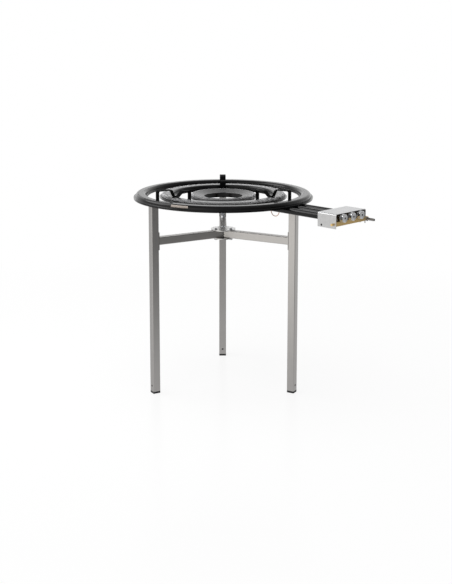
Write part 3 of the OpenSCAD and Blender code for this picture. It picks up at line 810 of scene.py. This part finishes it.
@dataclass
class Rings(SubAssembly):
    """Three burner rings with their supports and feed tubes.

    The collar round a small port has its ridge at a share of its width, and is sunk into the
    enamel by its height.
    """

    bands: tuple[PortBand, ...] = (
        PortBand(Ring.MIDDLE, 0.248, 0.781, 0.008, crown_radii=(0.225, 0.238)),
        PortBand(Ring.INNER, 0.130, 0.778, 0.008),
    )
    port_radius: float = 0.0013
    port_sides: int = 8
    rim_width: float = 0.0014
    rim_height: float = 0.0004
    ridge_share: float = 1 / 3
    mouth_height: float = 0.0002

    def dress(self) -> None:
        """Finishes the solids of the rings, supports and tubes."""
        for ring in Ring:
            top = DISH_ENAMEL if ring is Ring.INNER else ENAMEL
            dress(top, f"{ring.value}_ring_top")
            dress(ENAMEL, f"{ring.value}_ring_pan", f"{ring.value}_feed_tube")
        dress(STRIP_ENAMEL, "support_rivets", *(f"pan_support_{arm.label}" for arm in Arm))
        dress(COPPER, "thermocouple_lead")
        dress(BLANK_FILM, "blank_plate")

    def build(self) -> list[bpy.types.Object]:
        """Adds the close-set rows of small ports, as rims painted light grey for their highlight,
        with near-black mouths painted for the shade in each hole.

        Returns:
            The pieces.
        """
        pieces: list[bpy.types.Object] = []
        for band in self.bands:
            rims, mouths = bmesh.new(), bmesh.new()
            for place in band.places():
                self.port(rims, mouths, place)
            name = f"{band.ring.value}_port"
            pieces.append(make_piece(f"{name}_rims", rims, RIM_GLINT_ENAMEL, "burner"))
            pieces.append(make_piece(f"{name}_mouths", mouths, PORT_PAINTED_SHADE, "burner"))
        return pieces

    def port(self, rims: Shape, mouths: Shape, place: Matrix) -> None:
        """Adds one port: a low collar, and the near-black cap inside its ridge, painted shade for
        the hole.

        Args:
            rims: Geometry that the collar is added to.
            mouths: Geometry that the cap is added to.
            place: Frame of the port, with +Z out of the enamel.
        """
        ridge = self.port_radius + self.rim_width * self.ridge_share
        sunk = -self.rim_height
        collar = (
            (self.port_radius, sunk),
            (ridge, self.rim_height),
            (self.port_radius + self.rim_width, sunk),
        )
        add_turned(rims, self.port_sides, collar, place, capped=False)
        add_turned(mouths, self.port_sides, ((ridge, sunk), (ridge, self.mouth_height)), place)


@dataclass
class ControlBox(SubAssembly):
    """Hood with the taps, the gas bar and its inlet."""

    taps: tuple[Ring, ...] = tuple(Ring)

    def dress(self) -> None:
        """Finishes the solids of the box and the gas side."""
        dress(GALVANISED, "box_cover")
        # Back plate in black enamel so that the hood's inside reads dark: painted shade
        dress(ENAMEL, "box_back_plate")
        dress(BLACK_OXIDE, "box_screws")
        dress(INLET_STEEL, "hose_nozzle")
        dress(BRASS, "manifold", "manifold_plugs", "injectors")
        for tap in self.taps:
            name = f"{tap.value}_tap"
            dress(SHADED_TAP_BRASS, f"{name}_body", f"{name}_plug")
            dress(BLACK_OXIDE, f"{name}_spindle")
            dress(ZINC, f"{name}_spring")
            dress(CHROME, f"{name}_knob")


@dataclass(frozen=True)
class SoftLamp:
    """A square lamp: its name, the length of its side, its power in watts and its place."""

    name: str
    size: float
    power: float
    place: Point

    def hang(self) -> bpy.types.Object:
        """Hangs the lamp, shining down.

        Returns:
            The lamp.
        """
        data = bpy.data.lights.new(self.name, "AREA")
        data.shape = "SQUARE"
        data.size = self.size
        data.energy = self.power
        made = add_object(self.name, data)
        made.location = self.place
        return made


@dataclass
class Studio:
    """Camera, surround, lamps and floor.

    The horizon gives the surround's colour by direction, in degrees from +X, from the left
    round the front, the right and the back to the left again. The overhead colour takes over
    between two heights of the direction. The near floor fades out between two distances from
    the origin, keeps a share of its shadow for the camera, and is mirrored dimly.
    """

    focal_px: float = 1017.4
    frame_px: Span = (452.0, 584.0)
    axis_px: Span = (223.27, 185.73)
    sensor: float = 36.0
    view_end: float = 200.0
    distance: float = 4.045
    height: float = 1.437
    pitch: float = math.radians(8.827)
    heading: float = math.radians(-0.517)
    horizon: tuple[tuple[float, Colour], ...] = (
        (-180.0, (0.78, 0.77, 0.76)),
        (-150.0, (1.0, 0.985, 0.96)),
        (-122.0, (0.90, 0.88, 0.85)),
        (-90.0, grey(0.34)),
        (-60.0, grey(0.18)),
        (-25.0, grey(0.14)),
        (5.0, grey(0.38)),
        (35.0, grey(0.64)),
        (70.0, grey(1.0)),
        (110.0, grey(1.0)),
        (150.0, grey(0.46)),
        (180.0, (0.78, 0.77, 0.76)),
    )
    overhead: Colour = grey(0.3)
    overhead_reach: Span = (0.4, 0.8)
    backdrop: Colour = grey(1.0)
    broad_lamp: SoftLamp = SoftLamp("soft_lamp", 2.6, 75.0, (-0.5, -0.4, 3.0))
    side_lamp: SoftLamp = SoftLamp("side_lamp", 2.0, 30.0, (-2.3, 0.5, 2.5))
    floor_size: float = 60.0
    floor_colour: Colour = grey(0.9)
    floor_gloss: float = 0.3
    floor_roughness: float = 0.22
    near_floor: Span = (0.3, 2.4)
    near_shadow: float = 0.15
    mirrored_floor: float = 0.55

    def build(self) -> None:
        """Sets up the whole studio."""
        bpy.context.scene.view_settings.view_transform = "Standard"
        self.camera()
        self.surround()
        self.lamps()
        self.floor()

    def camera(self) -> None:
        """Sets up the camera at the viewing angle of the photograph."""
        data = bpy.data.cameras.new("camera")
        width, height = self.frame_px
        data.sensor_width = self.sensor
        data.lens = self.focal_px / height * self.sensor
        data.shift_x = (width / 2 - self.axis_px[0]) / height
        data.shift_y = (self.axis_px[1] - height / 2) / height
        data.clip_end = self.view_end
        made = add_object("camera", data)
        made.location = (
            math.sin(self.heading) * self.distance,
            -math.cos(self.heading) * self.distance,
            self.height,
        )
        made.rotation_euler = (math.pi / 2 - self.pitch, 0.0, self.heading)
        bpy.context.scene.camera = made

    def surround(self) -> None:
        """Makes the world: white to the camera, and the horizon's light to the object."""
        world = bpy.data.worlds.new("surround")
        bpy.context.scene.world = world
        world.use_nodes = True
        graph = Graph(world.node_tree)
        source = graph.node("ShaderNodeTexCoord")
        parts = graph.node("ShaderNodeSeparateXYZ")
        graph.link(source.outputs["Generated"], parts.inputs[0])
        x, y, z = parts.outputs
        angle = graph.compute("ARCTAN2", y, x)
        ramp = graph.node("ShaderNodeValToRGB")
        graph.link(graph.compute("MULTIPLY_ADD", angle, 1.0 / FULL_TURN, 0.5), ramp.inputs[0])
        self.fill_ramp(ramp.color_ramp)
        lift = graph.span(z, self.overhead_reach)
        light = graph.mix(lift, ramp.outputs[0], opaque(self.overhead))
        rays = graph.node("ShaderNodeLightPath")
        shown = graph.mix(rays.outputs["Is Camera Ray"], light, opaque(self.backdrop))
        glow = graph.node("ShaderNodeBackground")
        graph.link(shown, glow.inputs[0])
        graph.put_out("ShaderNodeOutputWorld", glow)

    def fill_ramp(self, ramp: bpy.types.ColorRamp) -> None:
        """Sets the colours of the horizon.

        Args:
            ramp: Colour ramp over one turn, which has its two end stops.
        """
        (start, first), *between, (end, last) = self.horizon
        for degrees, colour in between:
            ramp.elements.new((degrees - start) / (end - start)).color = opaque(colour)
        ramp.elements[0].color = opaque(first)
        ramp.elements[-1].color = opaque(last)

    def lamps(self) -> None:
        """Hangs one broad soft lamp overhead and a smaller one high on the left."""
        self.broad_lamp.hang().visible_glossy = False
        side = self.side_lamp.hang()
        aim = Vector((0.0, 0.0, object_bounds()[1][2])) - side.location
        side.rotation_euler = aim.to_track_quat("-Z", "Y").to_euler()

    def floor(self) -> None:
        """Lays a white floor with a faint reflection."""
        shape = bmesh.new()
        bmesh.ops.create_grid(shape, x_segments=1, y_segments=1, size=self.floor_size / 2)
        add_mesh("floor", shape, self.floor_material())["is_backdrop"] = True

    def floor_material(self) -> bpy.types.Material:
        """Makes the floor's white.

        The camera sees it as full white apart from soft shadows near the object, and the
        object mirrors only its near part, past which it mirrors the surround.

        Returns:
            The material.
        """
        made = bpy.data.materials.new("white_floor")
        made.use_nodes = True
        graph = Graph(made.node_tree)
        away = graph.length(graph.node("ShaderNodeNewGeometry").outputs["Position"])
        near = graph.span(away, self.near_floor, (1.0, 0.0))
        paint = graph.node("ShaderNodeBsdfDiffuse")
        paint.inputs["Color"].default_value = opaque(self.floor_colour)
        gloss = graph.node("ShaderNodeBsdfGlossy")
        gloss.inputs["Roughness"].default_value = self.floor_roughness
        lit = graph.blend(self.floor_gloss, paint, gloss)
        rays = graph.node("ShaderNodeLightPath").outputs
        seen = graph.compute("ADD", rays["Is Camera Ray"], rays["Is Transmission Ray"], clamp=True)
        white = graph.compute("MULTIPLY_ADD", near, -self.near_shadow, 1.0)
        glow = graph.node("ShaderNodeEmission")
        shown = graph.blend(graph.compute("MULTIPLY", seen, white), lit, glow)
        dim_glow = graph.node("ShaderNodeEmission")
        dim_glow.inputs["Strength"].default_value = self.mirrored_floor
        clear = graph.node("ShaderNodeBsdfTransparent")
        mirrored = graph.blend(near, clear, dim_glow)
        whole = graph.blend(rays["Is Glossy Ray"], shown, mirrored)
        graph.put_out("ShaderNodeOutputMaterial", whole)
        return made


def main() -> None:
    """Builds the studio, then dresses every sub-assembly and adds its pieces."""
    logging.basicConfig(level=logging.INFO, format="%(name)s: %(message)s")
    Studio().build()
    for group in (Stand(), Rings(), ControlBox()):
        group.dress()
        for piece in group.build():
            LOG.info("%s: added %s", type(group).__name__, piece.name)


if __name__ == "__main__":
    main()
